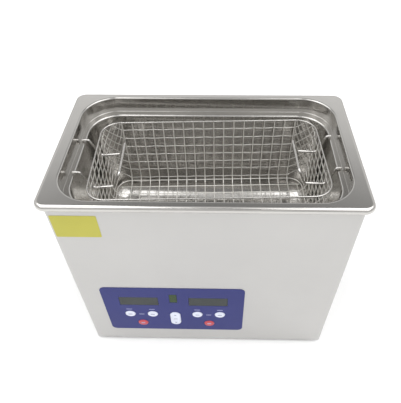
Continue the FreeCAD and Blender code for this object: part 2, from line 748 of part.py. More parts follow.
def build_basket():
    """Welded mesh basket: floor, two sides, two ends, four round corners and a top wire."""
    wire = "dims.mesh_wire"
    pitch_x, pitch_y = "dims.mesh_pitch_x", "dims.mesh_pitch_y"
    wall_z = (f"dims.basket_floor + {wire}", "dims.basket_top - dims.rim_wire / 2 - 0.05")
    side_x = centred(0, "2 * (dims.basket_half_length - dims.basket_corner - 0.1)")
    end_y = centred(0, "2 * (dims.basket_half_width - dims.basket_corner - 0.1)")

    for side, sign in (("front", "-"), ("back", "+")):
        spans = {"x": side_x, "y": centred(f"{sign}dims.basket_half_width", wire), "z": wall_z}
        uprights = centred_bars(f"mesh_{side}", spans, "x", 0, pitch_x, SIDE_UPRIGHTS)
        levels = bars(f"mesh_{side}", spans, "z", "dims.mesh_first_row", pitch_y, ROWS)
        basket_node(fuse(f"mesh_{side}", *uprights, *levels), f"basket_{side}")
    for side, sign in (("left", "-"), ("right", "+")):
        spans = {"x": centred(f"{sign}dims.basket_half_length", wire), "y": end_y, "z": wall_z}
        uprights = centred_bars(f"mesh_{side}", spans, "y", 0, pitch_x, END_UPRIGHTS)
        levels = bars(f"mesh_{side}", spans, "z", "dims.mesh_first_row", pitch_y, ROWS)
        basket_node(fuse(f"mesh_{side}", *uprights, *levels), f"basket_{side}_end")

    length, width = "2 * dims.basket_half_length", "2 * dims.basket_half_width"
    spans = {"x": centred(0, length), "y": centred(0, width), "z": centred("dims.basket_floor", wire)}
    outer = slab("floor_outline", centred(0, f"{length} + {wire}"), centred(0, f"{width} + {wire}"),
                 spans["z"], f"dims.basket_corner + {wire} / 2")
    inner = slab("floor_inline", centred(0, f"{length} - {wire}"), centred(0, f"{width} - {wire}"),
                 centred("dims.basket_floor", 6), f"dims.basket_corner - {wire} / 2")
    cross = centred_bars("floor", spans, "x", 0, pitch_x, FLOOR_BARS_X)
    long = centred_bars("floor", spans, "y", 0, pitch_y, FLOOR_BARS_Y)
    trimmed = common("floor_trimmed", fuse("floor_bars", *cross, *long), outer)
    basket_node(fuse("floor_mesh", trimmed, cut("floor_ring", outer, inner)), "basket_floor")
    build_basket_corners()
    build_basket_top_wire()
    build_basket_handles()


def corner_centre(start, z):
    """Middle of the basket's corner round that begins at this angle."""
    middle = math.radians(start + 45)
    reach_x = size("basket_half_length") - size("basket_corner")
    reach_y = size("basket_half_width") - size("basket_corner")
    return Vector(math.copysign(reach_x, math.cos(middle)), math.copysign(reach_y, math.sin(middle)), z)


def build_basket_corners():
    """Quarter rounds of the mesh: curved rows and three uprights in each corner."""
    wire = size("mesh_wire")
    radius = size("basket_corner")
    low = size("basket_floor") + wire
    high = size("basket_top") - size("rim_wire") / 2 - 0.05
    posts = []
    for start in QUARTERS:
        parts = []
        for row in range(ROWS):
            z = size("mesh_first_row") + row * size("mesh_pitch_y") - wire / 2
            centre = corner_centre(start, z)
            outer = Part.makeCylinder(radius + wire / 2, wire, centre, Vector(0, 0, 1), 90)
            inner = Part.makeCylinder(radius - wire / 2, wire, centre)
            outer.rotate(centre, Vector(0, 0, 1), start)
            parts.append(outer.cut(inner))
        for degrees in CORNER_UPRIGHTS:
            turn = Rotation(Vector(0, 0, 1), start + degrees)
            bar = Part.makeBox(wire, wire, high - low, Vector(-wire / 2, -wire / 2, 0))
            bar.Placement = Placement(corner_centre(start, low) + turn.multVec(Vector(radius, 0, 0)), turn)
            parts.append(bar)
        posts.append(parts[0].multiFuse(parts[1:]).removeSplitter())
    basket_node(coded("corner_set", Part.makeCompound(posts)), "basket_corners")


def build_basket_top_wire():
    """Round wire that closes the top of the mesh."""
    arcs = []
    for start in QUARTERS:
        centre = corner_centre(start, size("basket_top"))
        arcs.append(Part.makeCircle(size("basket_corner"), centre, Vector(0, 0, 1), start, start + 90))
    edges = []
    for arc, following in zip(arcs, arcs[1:] + arcs[:1]):
        edges.append(arc)
        edges.append(Part.LineSegment(arc.valueAt(arc.LastParameter),
                                      following.valueAt(following.FirstParameter)).toShape())
    basket_node(coded("top_wire", tube_along(Part.Wire(edges), size("rim_wire"))), "basket_top_wire")


def build_basket_handles():
    """Two bent wires that hang the basket from the tank's ledge, each with a raised grip."""
    hook_z = size("total_height") - size("step_depth") + size("handle_wire") / 2 + HOOK_CLEARANCE
    half = size("handle_half_width")
    for side, sign in (("left", -1), ("right", 1)):
        outline = [
            (size(f"{side}_tip_x"), hook_z),
            (size(f"{side}_hook_x"), hook_z),
            (size("handle_knee_x"), size("handle_knee_z")),
            (size("handle_elbow_x"), size("handle_elbow_z")),
            (size("handle_grip_x"), size("handle_grip_z")),
        ]
        there = [Vector(sign * x, -half, z) for x, z in outline]
        back = [Vector(sign * x, half, z) for x, z in reversed(outline)]
        path = bend_path(there + back, HANDLE_BENDS + HANDLE_BENDS[::-1])
        basket_node(coded(f"handle_{side}", tube_along(path, size("handle_wire"))), f"basket_handle_{side}")


build_basket()


# ---------------------------------------------------------------- transducers and heaters
def transducer_places():
    return [("-dims.transducer_pitch", "0"), ("0", "0"), ("dims.transducer_pitch", "0")]


def build_transducers():
    """Three bolt-clamped stacks bonded under the tank's floor."""
    horn_top = "(dims.well_floor - dims.sheet)"
    horn_low = f"({horn_top} - dims.front_mass_tall)"
    layers = {"horn": [], "ring": [], "electrode": [], "back": [], "bolt": []}
    for index, (x, y) in enumerate(transducer_places()):
        cone = doc.addObject("Part::Cone", f"horn_cone_{index}")
        cone.setExpression("Radius1", "dims.front_mass_low / 2")
        cone.setExpression("Radius2", "dims.front_mass_top / 2")
        cone.setExpression("Height", "dims.front_mass_tall")
        cone.setExpression("Placement.Base.x", x)
        cone.setExpression("Placement.Base.z", horn_low)
        socket = rod(f"horn_socket_{index}", "z", (x, y), (f"{horn_low} - 1", f"{horn_low} + 15.5"),
                     "dims.bolt_diameter + 0.1")
        layers["horn"].append(cut(f"horn_{index}", cone, socket))
        level = horn_low
        for turn in range(2):
            for kind, thick in (("electrode", "dims.electrode_thick"), ("ring", "dims.piezo_thick")):
                below = f"({level} - {thick})"
                disc = rod(f"{kind}_disc_{index}_{turn}", "z", (x, y), (below, level), "dims.piezo_diameter")
                hole = rod(f"{kind}_hole_{index}_{turn}", "z", (x, y), (f"{below} - 1", f"{level} + 1"),
                           "dims.piezo_bore")
                if kind == "electrode":
                    tab = block(f"tab_{index}_{turn}", centred(x, 5), ("15", "26"), (below, level))
                    disc = fuse(f"tabbed_{index}_{turn}", disc, tab)
                layers[kind].append(cut(f"{kind}_{index}_{turn}", disc, hole))
                level = below
        back_low = f"({level} - dims.back_mass_tall)"
        back = rod(f"back_disc_{index}", "z", (x, y), (back_low, level), "dims.piezo_diameter")
        back_hole = rod(f"back_hole_{index}", "z", (x, y), (f"{back_low} - 1", f"{level} + 1"),
                        "dims.bolt_diameter + 0.4")
        layers["back"].append(cut(f"back_{index}", back, back_hole))
        shank = rod(f"bolt_shank_{index}", "z", (x, y), (back_low, f"{horn_low} + 15"), "dims.bolt_diameter")
        head = doc.addObject("Part::Prism", f"bolt_head_{index}")
        head.Polygon = 6
        head.setExpression("Circumradius", "dims.bolt_diameter")
        head.setExpression("Height", "dims.bolt_diameter * 0.64")
        head.setExpression("Placement.Base.x", x)
        head.setExpression("Placement.Base.z", f"{back_low} - dims.bolt_diameter * 0.64")
        layers["bolt"].append(fuse(f"bolt_{index}", shank, head))
    node(together("horns", *layers["horn"]), "transducer_front_masses")
    node(together("rings", *layers["ring"]), "piezo_rings")
    node(together("electrodes", *layers["electrode"]), "piezo_electrodes")
    node(together("backs", *layers["back"]), "transducer_back_masses")
    node(together("bolts", *layers["bolt"]), "transducer_bolts")


def build_heaters():
    """Flat heater pads bonded to the well's long walls, and the sensor beside one of them."""
    wall = "(dims.well_depth / 2 + dims.sheet)"
    height = ("168", "228")
    node(slab("pad_front", centred(0, 190), (f"-{wall} - 2", f"-{wall}"), height, "4", along="y"),
         "heater_pad_front")
    node(slab("pad_rear", centred(0, 190), (wall, f"{wall} + 2"), height, "4", along="y"), "heater_pad_rear")
    block_part = block("sensor_block", centred(100, 7), (wall, f"{wall} + 4"), centred(160, 10))
    barrel = rod("sensor_barrel", "z", ("100", f"{wall} + 2"), ("162", "173"), 4)
    node(fuse("sensor_shape", block_part, barrel), "temperature_sensor")


build_transducers()
build_heaters()


# ---------------------------------------------------------------- generator
POST_X, POST_Y = 59, 39
PANEL_POST_X, PANEL_POST_Z = 78, 40
SINK_DX, SINK_LONG = -40, 74
SINK_FINS = 7
FIN_PITCH = 4.33
CORE_DX, CORE_DY = 6, -18
CORE_LONG, CORE_WIDE = 36, 30
CAN_PLACES = ((-4, 22), (18, 22), (40, 22), (44, -6))


def four_corners(dx, dy):
    return [(sx * dx, sy * dy) for sy in (-1, 1) for sx in (-1, 1)]


def generator_corner(dx, dy):
    return (f"dims.generator_x {dx:+}", f"dims.generator_y {dy:+}")


def build_generator():
    """Ultrasonic generator on its board, standing on spacers over the bottom plate."""
    board_low = f"({DECK} + dims.spacer_height)"
    board_top = f"({board_low} + dims.board_thick)"
    board = block("generator_sheet", centred("dims.generator_x", "dims.generator_long"),
                  centred("dims.generator_y", "dims.generator_wide"), (board_low, board_top))
    holes = []
    spacers = []
    for index, (dx, dy) in enumerate(four_corners(POST_X, POST_Y)):
        place = generator_corner(dx, dy)
        holes.append(rod(f"generator_hole_{index}", "z", place, (f"{board_low} - 1", f"{board_top} + 1"),
                         3.4))
        post = rod(f"spacer_post_{index}", "z", place, (DECK, board_low), 7)
        bore = rod(f"spacer_bore_{index}", "z", place, (f"{DECK} - 1", f"{board_low} + 1"), 3.0)
        spacers.append(cut(f"spacer_{index}", post, bore))
    node(cut("generator_sheet_cut", board, *holes), "generator_board")
    for index, (dx, dz) in enumerate(four_corners(PANEL_POST_X, PANEL_POST_Z)):
        place = (f"dims.panel_x {dx:+}", f"dims.panel_z {dz:+}")
        spacers.append(rod(f"panel_spacer_{index}", "y", place, (f"{FRONT_INSIDE} + 0.05", "dims.board_y"), 6))
    node(together("spacer_set", *spacers), "board_spacers")
    top = size("foot_height") + size("sheet") + size("spacer_height") + size("board_thick")
    centre_x, centre_y = size("generator_x"), size("generator_y")
    screw_places = [((centre_x + dx, centre_y + dy, top), (0, 0, 1))
                    for dx, dy in four_corners(POST_X, POST_Y)]
    node(copies("board_screw_set", pan_screw(5.6, 1.8, 2.9, 8.0), screw_places), "board_screws")

    sink_y = centred("dims.generator_y", SINK_LONG)
    sink = block("sink_base", centred(f"dims.generator_x {SINK_DX:+}", 30), sink_y,
                 (board_top, f"{board_top} + 4"))
    fins = []
    for index in range(SINK_FINS):
        x = f"dims.generator_x {SINK_DX + (index - (SINK_FINS - 1) / 2) * FIN_PITCH:+.2f}"
        fins.append(block(f"sink_fin_{index}", centred(x, 1.2), sink_y,
                          (f"{board_top} + 3", f"{board_top} + 26")))
    node(fuse("sink", sink, *fins), "heat_sink")
    core = generator_corner(CORE_DX, CORE_DY)
    core_x, core_y = centred(core[0], CORE_LONG), centred(core[1], CORE_WIDE)
    core_low = slab("core_low", core_x, core_y, (board_top, f"{board_top} + 7"), "1.5")
    core_high = slab("core_high", core_x, core_y, (f"{board_top} + 25", f"{board_top} + 32"), "1.5")
    winding = rod("core_winding", "z", core, (f"{board_top} + 6.5", f"{board_top} + 25.5"), 27)
    node(fuse("transformer_shape", core_low, core_high, winding), "output_transformer")
    cans = []
    for index, (dx, dy) in enumerate(CAN_PLACES):
        place = generator_corner(dx, dy)
        cans.append(rod(f"can_{index}", "z", place, (board_top, f"{board_top} + 28"), 18))
    node(together("cans", *cans), "filter_capacitors")


# ---------------------------------------------------------------- mains inlet, switch and fan
MODULE_LIP = 1.8
SOCKET_DOWN = 14
DRAWER_UP = 1.6
ROCKER_UP = 16
ROCKER_AXLE_IN = 4
ROCKER_AXLE = 2.4
ROCKER_TILT = 8.0
ROTOR_BLADES = 7
BLADE_PITCH = 42
SPINDLE = 3
SPINDLE_BORE = 3.6


def build_inlet():
    """Inlet module: socket, fuse drawer and power rocker in one moulding behind the rear panel."""
    x, z = "dims.inlet_x", "dims.inlet_z"
    face = f"({REAR_OUTSIDE} + {MODULE_LIP})"
    flange = slab("module_flange", centred(x, 46), (REAR_OUTSIDE, face), centred(z, 58), "4", along="y")
    body = block("module_body", centred(x, 27.6), (f"{REAR_OUTSIDE} - 27", f"{REAR_OUTSIDE} + 0.5"),
                 centred(z, 50))
    socket = slab("module_socket", centred(x, 24), (f"{face} - 17", f"{face} + 3"),
                  centred(f"{z} - {SOCKET_DOWN}", 16.4), "3", along="y")
    drawer_bay = block("module_drawer_bay", centred(x, 23.4), (f"{face} - 20", f"{face} + 3"),
                       centred(f"{z} + {DRAWER_UP}", 8.4))
    rocker_bay = block("module_rocker_bay", centred(x, 21), (f"{face} - 14", f"{face} + 3"),
                       centred(f"{z} + {ROCKER_UP}", 15))
    axle_hole = rod("module_axle_hole", "x", (f"{face} - {ROCKER_AXLE_IN}", f"{z} + {ROCKER_UP}"),
                    centred(x, 23), AXLE_BORE)
    ears = [rod(f"module_ear_{index}", "y", (f"{x} {sign} 19", z), (f"{REAR_OUTSIDE} - 3", f"{face} + 3"), 3.4)
            for index, sign in enumerate("-+")]
    pins = [block(f"pin_{index}", centred(f"{x} {dx:+}", 2), (f"{face} - 19", f"{face} - 4"),
                  centred(f"{z} - {SOCKET_DOWN} {dz:+}", 4)) for index, (dx, dz) in enumerate(((-7, -2), (7, -2), (0, 4)))]
    node(together("pin_set", *pins), "inlet_pins")
    node(cut("module", fuse("module_solid", flange, body), socket, drawer_bay, rocker_bay, axle_hole,
             *ears, *pins), "mains_inlet")
    tray = block("drawer_tray", centred(x, 23), (f"{face} - 18", f"{face} + 0.4"), centred(f"{z} + {DRAWER_UP}", 8))
    well = block("drawer_well", centred(x, 20), (f"{face} - 17", f"{face} - 3"), (f"{z} - 0.6", f"{z} + 9"))
    grip = block("drawer_grip", centred(x, 8), (f"{face} - 1", f"{face} + 2"), (f"{z} - 3", f"{z} - 1.4"))
    node(cut("drawer", tray, well, grip), "fuse_drawer")


def build_rocker():
    """Power rocker, modelled at rest in its off position with its upper end pressed in."""
    half_tall, crown, depth = 6.9, 3.4, 3.0
    outline = Part.Wire([
        Part.LineSegment(Vector(0, -half_tall, -depth), Vector(0, half_tall, -depth)).toShape(),
        Part.LineSegment(Vector(0, half_tall, -depth), Vector(0, half_tall, crown)).toShape(),
        Part.Arc(Vector(0, half_tall, crown), Vector(0, 0, crown - 1.4), Vector(0, -half_tall, crown)).toShape(),
        Part.LineSegment(Vector(0, -half_tall, crown), Vector(0, -half_tall, -depth)).toShape(),
    ])
    cap = Part.Face(outline).extrude(Vector(20, 0, 0))
    cap.translate(Vector(-10, 0, 0))
    axle = Part.makeCylinder(ROCKER_AXLE / 2, 22.4, Vector(-11.2, 0, 0), Vector(1, 0, 0))
    lever = cap.fuse(axle)
    # local z points out of the rear panel, local y points down
    turn = Rotation(Vector(1, 0, 0), -90 + ROCKER_TILT)
    axle_y = size("housing_depth") / 2 + 0.1 + size("sheet") + MODULE_LIP - ROCKER_AXLE_IN
    lever.Placement = Placement(Vector(size("inlet_x"), axle_y, size("inlet_z") + ROCKER_UP), turn)
    node(coded("power_lever", lever), "power_rocker")


def build_fan():
    x, z = "dims.fan_x", "dims.fan_z"
    span = (f"{REAR} - 0.2 - dims.fan_thick", f"{REAR} - 0.2")
    case = slab("fan_case", centred(x, "dims.fan_side"), span, centred(z, "dims.fan_side"), "5", along="y")
    throat = rod("fan_throat", "y", (x, z), (f"{span[0]} + 2", f"{span[1]} + 1"), "dims.fan_side - 3")
    spokes_open = rod("fan_back_open", "y", (x, z), (f"{span[0]} - 1", f"{span[1]} + 1"), "dims.fan_side - 8")
    bridge_a = block("fan_bridge_a", centred(x, "dims.fan_side - 4"), (span[0], f"{span[0]} + 2"), centred(z, 4))
    bridge_b = block("fan_bridge_b", centred(x, 4), (span[0], f"{span[0]} + 2"), centred(z, "dims.fan_side - 4"))
    motor = rod("fan_motor", "y", (x, z), (span[0], f"{span[0]} + 3"), 25)
    axle = rod("fan_axle", "y", (x, z), (f"{span[0]} + 2", f"{span[0]} + 9"), SPINDLE)
    bolts = [rod(f"fan_bolt_hole_{index}", "y", (f"{x} {sx} 25", f"{z} {sz} 25"),
                 (f"{span[0]} - 1", f"{span[1]} + 1"), 4.4)
             for index, (sx, sz) in enumerate((("-", "-"), ("-", "+"), ("+", "-"), ("+", "+")))]
    shell = cut("fan_shell", case, throat, spokes_open, *bolts)
    node(fuse("fan_frame_shape", shell, bridge_a, bridge_b, motor, axle), "fan_frame")

    hub = Part.makeCylinder(12.5, 9.0, Vector(0, 0, 3.6))
    bore = Part.makeCylinder(SPINDLE_BORE / 2, 7.0, Vector(0, 0, 3.5))
    blades = []
    for index in range(ROTOR_BLADES):
        blade = Part.makeBox(14.6, 1.1, 11.0, Vector(11.6, -0.55, -5.5))
        blade.rotate(Vector(), Vector(1, 0, 0), BLADE_PITCH)
        blade.translate(Vector(0, 0, 8.1))
        blade.rotate(Vector(), Vector(0, 0, 1), index * 360 / ROTOR_BLADES)
        blades.append(blade)
    rotor = hub.multiFuse(blades).cut(bore)
    low_y = size("housing_depth") / 2 + 0.1 - 0.2 - size("fan_thick")
    rotor.Placement = Placement(Vector(size("fan_x"), low_y, size("fan_z")), TURN_Z_TO["y"])
    node(coded("rotor", rotor), "fan_rotor")


build_generator()
build_inlet()
build_rocker()
build_fan()


# ---------------------------------------------------------------- internal leads
def build_leads():
    """Leads clipped between their terminals inside the housing, each made whole."""
    routes = {
        "transducer_lead": (3.0, [(-20, 14, 17.2), (-17, 22, 30), (-10, 32, 50), (-4, 36, 70),
                                  (0, 33, 85), (0, 28, 93)]),
        "heater_lead": (3.0, [(-44, 14, 17.2), (-42, 24, 32), (-30, 46, 54), (-12, 68, 84), (-2, 81, 116),
                              (2, 84, 144), (2, 82.6, 166.2)]),
        "mains_lead": (4.0, [(-110, 66, 46), (-110, 58, 44), (-112, 42, 40), (-108, 30, 30),
                             (-100, 18, 22), (-94, 10, 17.8)]),
    }
    for name, (diameter, corners) in routes.items():
        path = soft_route([Vector(*corner) for corner in corners])
        node(coded(f"{name}_tube", tube_along(path, diameter)), name)


build_leads()


# ---------------------------------------------------------------- check and write
def write_parts():
    doc.recompute()
    failed = [thing.Name for thing in doc.Objects if "Invalid" in thing.State or "Error" in thing.State]
    if failed:
        raise RuntimeError(f"objects that did not compute: {failed}")
    os.makedirs("parts", exist_ok=True)
    for thing in NODES:
        shape = thing.Shape
        if shape.isNull() or not shape.isValid() or not shape.Solids:
            raise RuntimeError(f"{thing.Label} has no valid solid")
        shape.exportStep(f"parts/{thing.Label}.step")
    print(f"{len(NODES)} nodes written")


write_parts()
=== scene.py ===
import math

import bpy
from mathutils import Matrix, Vector


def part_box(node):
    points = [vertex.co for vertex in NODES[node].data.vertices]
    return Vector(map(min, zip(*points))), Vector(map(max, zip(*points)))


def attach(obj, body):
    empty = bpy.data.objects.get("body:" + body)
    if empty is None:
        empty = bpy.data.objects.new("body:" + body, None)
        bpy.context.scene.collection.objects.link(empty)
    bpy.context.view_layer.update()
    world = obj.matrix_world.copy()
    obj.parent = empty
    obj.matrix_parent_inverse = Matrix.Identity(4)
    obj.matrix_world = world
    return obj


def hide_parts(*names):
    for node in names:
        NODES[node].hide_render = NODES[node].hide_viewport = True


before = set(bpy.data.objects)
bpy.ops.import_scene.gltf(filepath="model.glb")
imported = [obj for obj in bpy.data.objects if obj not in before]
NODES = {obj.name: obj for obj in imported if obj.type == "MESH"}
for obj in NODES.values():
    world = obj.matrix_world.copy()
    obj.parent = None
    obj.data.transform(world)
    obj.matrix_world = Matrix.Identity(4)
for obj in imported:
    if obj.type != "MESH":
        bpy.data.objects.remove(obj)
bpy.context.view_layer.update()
MM = 0.001


# ---------------------------------------------------------------- node materials
def new_material(name):
    """Material with its tree and its shader."""
    material = bpy.data.materials.new(name)
    material.use_nodes = True
    tree = material.node_tree
    shader = tree.nodes["Principled BSDF"]
    return material, tree, shader


def noise(tree, scale, detail=4.0, roughness=0.6, distortion=0.0):
    """Noise of a scale per metre in the piece's own frame, which may differ between the axes."""
    place = tree.nodes.new("ShaderNodeTexCoord")
    mapping = tree.nodes.new("ShaderNodeMapping")
    mapping.inputs["Scale"].default_value = scale if isinstance(scale, tuple) else (scale,) * 3
    texture = tree.nodes.new("ShaderNodeTexNoise")
    texture.inputs["Scale"].default_value = 1.0
    texture.inputs["Detail"].default_value = detail
    texture.inputs["Roughness"].default_value = roughness
    texture.inputs["Distortion"].default_value = distortion
    tree.links.new(place.outputs["Object"], mapping.inputs["Vector"])
    tree.links.new(mapping.outputs["Vector"], texture.inputs["Vector"])
    return texture.outputs["Fac"]


def remap(tree, value, low, high, source=(0.25, 0.75)):
    """Value brought from its source range to low..high."""
    scaler = tree.nodes.new("ShaderNodeMapRange")
    scaler.inputs["From Min"].default_value = source[0]
    scaler.inputs["From Max"].default_value = source[1]
    scaler.inputs["To Min"].default_value = low
    scaler.inputs["To Max"].default_value = high
    tree.links.new(value, scaler.inputs["Value"])
    return scaler.outputs["Result"]


def tint(tree, value, dark, light):
    """Colour between two others."""
    mixer = tree.nodes.new("ShaderNodeMix")
    mixer.data_type = "RGBA"
    mixer.inputs["A"].default_value = (*dark, 1.0)
    mixer.inputs["B"].default_value = (*light, 1.0)
    tree.links.new(value, mixer.inputs["Factor"])
    return mixer.outputs["Result"]


def bump(tree, shader, layers):
    """Stack of bumps, each a height, a strength and a distance in metres."""
    normal = None
    for height, strength, distance in layers:
        node = tree.nodes.new("ShaderNodeBump")
        node.inputs["Strength"].default_value = strength
        node.inputs["Distance"].default_value = distance
        tree.links.new(height, node.inputs["Height"])
        if normal is not None:
            tree.links.new(normal, node.inputs["Normal"])
        normal = node.outputs["Normal"]
    tree.links.new(normal, shader.inputs["Normal"])


def shade(colour, factor):
    return tuple(min(1.0, channel * factor) for channel in colour)


ROUGHNESS_SPREAD = 0.22


def surface(name, colour, roughness, metallic=0.0, tone=0.05, cloud=60, grain=900,
            grain_bump=0.1, grain_depth=0.0001, wave=None, specular=0.5):
    """Finish with slow colour clouds, fine grain in roughness and bump, and an optional slow wave."""
    material, tree, shader = new_material(name)
    clouds = noise(tree, cloud, detail=3.0)
    fine = noise(tree, grain, detail=5.0)
    colour_out = tint(tree, remap(tree, clouds, 0.0, 1.0), shade(colour, 1 - tone), shade(colour, 1 + tone))
    tree.links.new(colour_out, shader.inputs["Base Color"])
    spread = roughness * ROUGHNESS_SPREAD
    tree.links.new(remap(tree, fine, roughness - spread, roughness + spread), shader.inputs["Roughness"])
    layers = [(fine, grain_bump, grain_depth)]
    if wave is not None:
        scale, strength, distance = wave
        layers.append((noise(tree, scale, detail=1.0), strength, distance))
    bump(tree, shader, layers)
    shader.inputs["Metallic"].default_value = metallic
    shader.inputs["Specular IOR Level"].default_value = specular
    return material


M = {
    "tank": surface("tank_steel", (0.545, 0.532, 0.51), 0.17, metallic=1.0, tone=0.04, cloud=(14, 14, 9),
                    grain=(900, 900, 60), grain_bump=0.02, grain_depth=0.0001,
                    wave=((30, 30, 10), 0.10, 0.0006)),
    "case": surface("satin_steel", (0.50, 0.493, 0.480), 0.36, metallic=0.6, tone=0.03, cloud=9,
                    grain=(60, 60, 2600), grain_bump=0.10, grain_depth=0.00008),
    "base": surface("base_steel", (0.50, 0.50, 0.49), 0.42, metallic=1.0, grain=(2400, 60, 60)),
    # The basket's wires are one steel in two copies: the lighter, partly diffuse copy here is painted light
    # for the wires that climb the walls, and the darker copy below is painted shade for the rows.
    "wire": surface("basket_steel_painted_light", (0.82, 0.80, 0.76), 0.40, metallic=0.6, tone=0.06, cloud=160,
                    grain=1500, grain_bump=0.05),
    "row_wire": surface("basket_row_steel_painted_shade", (0.70, 0.68, 0.65), 0.36, metallic=0.7, tone=0.06,
                        cloud=160, grain=1500, grain_bump=0.05),
    "handle": surface("handle_steel", (0.60, 0.585, 0.56), 0.26, metallic=0.95, tone=0.06,
                      cloud=160, grain=1500, grain_bump=0.05),
    "screw": surface("plated_screw", (0.62, 0.61, 0.58), 0.26, metallic=1.0, grain=1800),
    "rubber": surface("foot_rubber", (0.022, 0.022, 0.023), 0.72, grain=1400, grain_bump=0.25),
    "film": surface("panel_film", (0.032, 0.038, 0.168), 0.40, tone=0.05, specular=0.15, cloud=18,
                    grain=3000, grain_bump=0.06, grain_depth=0.00004),
    "tint": surface("display_tint", (0.034, 0.040, 0.038), 0.24, specular=0.2, tone=0.12, cloud=50,
                    grain=2500, grain_bump=0.03, grain_depth=0.00003),
    "green": surface("indicator_tint", (0.028, 0.056, 0.014), 0.26, specular=0.2, tone=0.15, cloud=150,
                     grain=2500, grain_bump=0.03, grain_depth=0.00003),
    "white_key": surface("white_key", (0.70, 0.73, 0.84), 0.34, tone=0.03, cloud=200,
                         grain=3500, grain_bump=0.06, grain_depth=0.00004),
    "red_key": surface("red_key", (0.50, 0.050, 0.065), 0.36, tone=0.07, cloud=200,
                       grain=3500, grain_bump=0.06, grain_depth=0.00004),
    "yellow": surface("sticker_film", (0.46, 0.43, 0.045), 0.34, tone=0.04, cloud=30,
                      grain=2200, grain_bump=0.04, grain_depth=0.00004),
    "ink": surface("legend_ink", (0.42, 0.44, 0.66), 0.5, grain=3000, grain_bump=0.04),
    "grey_ink": surface("key_ink", (0.30, 0.32, 0.42), 0.5, grain=3000, grain_bump=0.04),
    "black": surface("black_moulding", (0.020, 0.020, 0.021), 0.46, grain=1700, grain_bump=0.2),
    "rocker": surface("rocker_plastic", (0.016, 0.016, 0.017), 0.24, grain=1700),
    "lamp": surface("lamp_lens", (0.10, 0.42, 0.10), 0.22, grain=900),
    "board": surface("circuit_board", (0.018, 0.150, 0.060), 0.34, tone=0.2, cloud=140,
                     grain=900, grain_bump=0.2),
    "brass": surface("brass_parts", (0.72, 0.52, 0.22), 0.30, metallic=1.0, grain=1200),
    "aluminium": surface("turned_aluminium", (0.72, 0.72, 0.73), 0.32, metallic=1.0,
                         grain=(300, 300, 2400)),
    "ceramic": surface("piezo_ceramic", (0.33, 0.30, 0.24), 0.55, grain=2600, grain_bump=0.3),
    "dark_steel": surface("back_mass_steel", (0.40, 0.40, 0.40), 0.36, metallic=1.0,
                          grain=(300, 300, 2400)),
    "silicone": surface("heater_silicone", (0.34, 0.070, 0.025), 0.6, grain=1600, grain_bump=0.3),
    "sink": surface("sink_aluminium", (0.05, 0.05, 0.055), 0.4, metallic=0.6, grain=(300, 2400, 2400)),
    "ferrite": surface("transformer_parts", (0.045, 0.040, 0.036), 0.62, grain=1500),
    "sleeve": surface("capacitor_sleeve", (0.018, 0.026, 0.080), 0.26, grain=900),
    "lead": surface("lead_jacket", (0.024, 0.024, 0.025), 0.5, grain=1800, grain_bump=0.15),
}

CARRIED = {
    "case": ("housing_shell", "rear_panel"),
    "base": ("bottom_plate",),
    "screw": ("case_screws", "foot_screws", "board_screws", "transducer_bolts"),
    "rubber": ("foot_front_left", "foot_front_right", "foot_rear_left", "foot_rear_right"),
    "film": ("panel_overlay",),
    "tint": ("display_window_left", "display_window_right"),
    "green": ("indicator_window",),
    "yellow": ("front_sticker",),
    "handle": ("basket_top_wire", "basket_handle_left", "basket_handle_right"),
    "black": ("tall_key_cradle", "tact_switches", "mains_inlet", "fuse_drawer", "fan_frame", "fan_rotor",
              "display_left", "display_right"),
    "rocker": ("power_rocker",),
    "lamp": ("indicator_lamp",),
    "board": ("control_board", "generator_board"),
    "brass": ("board_spacers", "piezo_electrodes", "inlet_pins"),
    "aluminium": ("transducer_front_masses", "temperature_sensor"),
    "ceramic": ("piezo_rings",),
    "dark_steel": ("transducer_back_masses",),
    "silicone": ("heater_pad_front", "heater_pad_rear"),
    "sink": ("heat_sink",),
    "ferrite": ("output_transformer",),
    "sleeve": ("filter_capacitors",),
    "lead": ("transducer_lead", "heater_lead", "mains_lead"),
}


def paint(thing, material):
    thing.data.materials.clear()
    thing.data.materials.append(material)


for key, names in CARRIED.items():
    for node_name in names:
        paint(NODES[node_name], M[key])


# ---------------------------------------------------------------- mesh building
NORMAL_WEIGHT = 80
DOME_SHARES = (0.35, 0.75, 0.95)


def make_piece(name, points, faces, body, material, stands_for=(), slot=None, weighted=False):
    """Smooth mesh from points in millimetres, riding on a body in place of some CAD nodes."""
    mesh = bpy.data.meshes.new(name)
    mesh.from_pydata([(x * MM, y * MM, z * MM) for x, y, z in points], [], faces)
    mesh.polygons.foreach_set("use_smooth", [True] * len(mesh.polygons))
    mesh.update()
    piece = bpy.data.objects.new(name, mesh)
    bpy.context.scene.collection.objects.link(piece)
    paint(piece, material)
    if weighted:
        modifier = piece.modifiers.new("weighted", "WEIGHTED_NORMAL")
        modifier.weight = NORMAL_WEIGHT
    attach(piece, body)
    if stands_for:
        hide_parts(*stands_for)
    return piece


def rounded_loop(half_x, half_y, corner, z, arc_steps=18, middle=(0.0, 0.0)):
    """Counter-clockwise points of a rectangle with round corners at one height."""
    points = []
    for start in (0, 90, 180, 270):
        diagonal = math.radians(start + 45)
        x = middle[0] + math.copysign(half_x - corner, math.cos(diagonal))
        y = middle[1] + math.copysign(half_y - corner, math.sin(diagonal))
        for step in range(arc_steps + 1):
            angle = math.radians(start + 90 * step / arc_steps)
            points.append((x + corner * math.cos(angle), y + corner * math.sin(angle), z))
    return points


def skin_loops(loops, cap_ends=True):
    """Points and quads over loops of equal length, with both ends capped."""
    points = [point for loop in loops for point in loop]
    count = len(loops[0])
    faces = []
    for level in range(len(loops) - 1):
        for index in range(count):
            after = (index + 1) % count
            low, high = level * count, (level + 1) * count
            faces.append((low + index, low + after, high + after, high + index))
    if cap_ends:
        faces.append(tuple(reversed(range(count))))
        faces.append(tuple(range(len(points) - count, len(points))))
    return points, faces


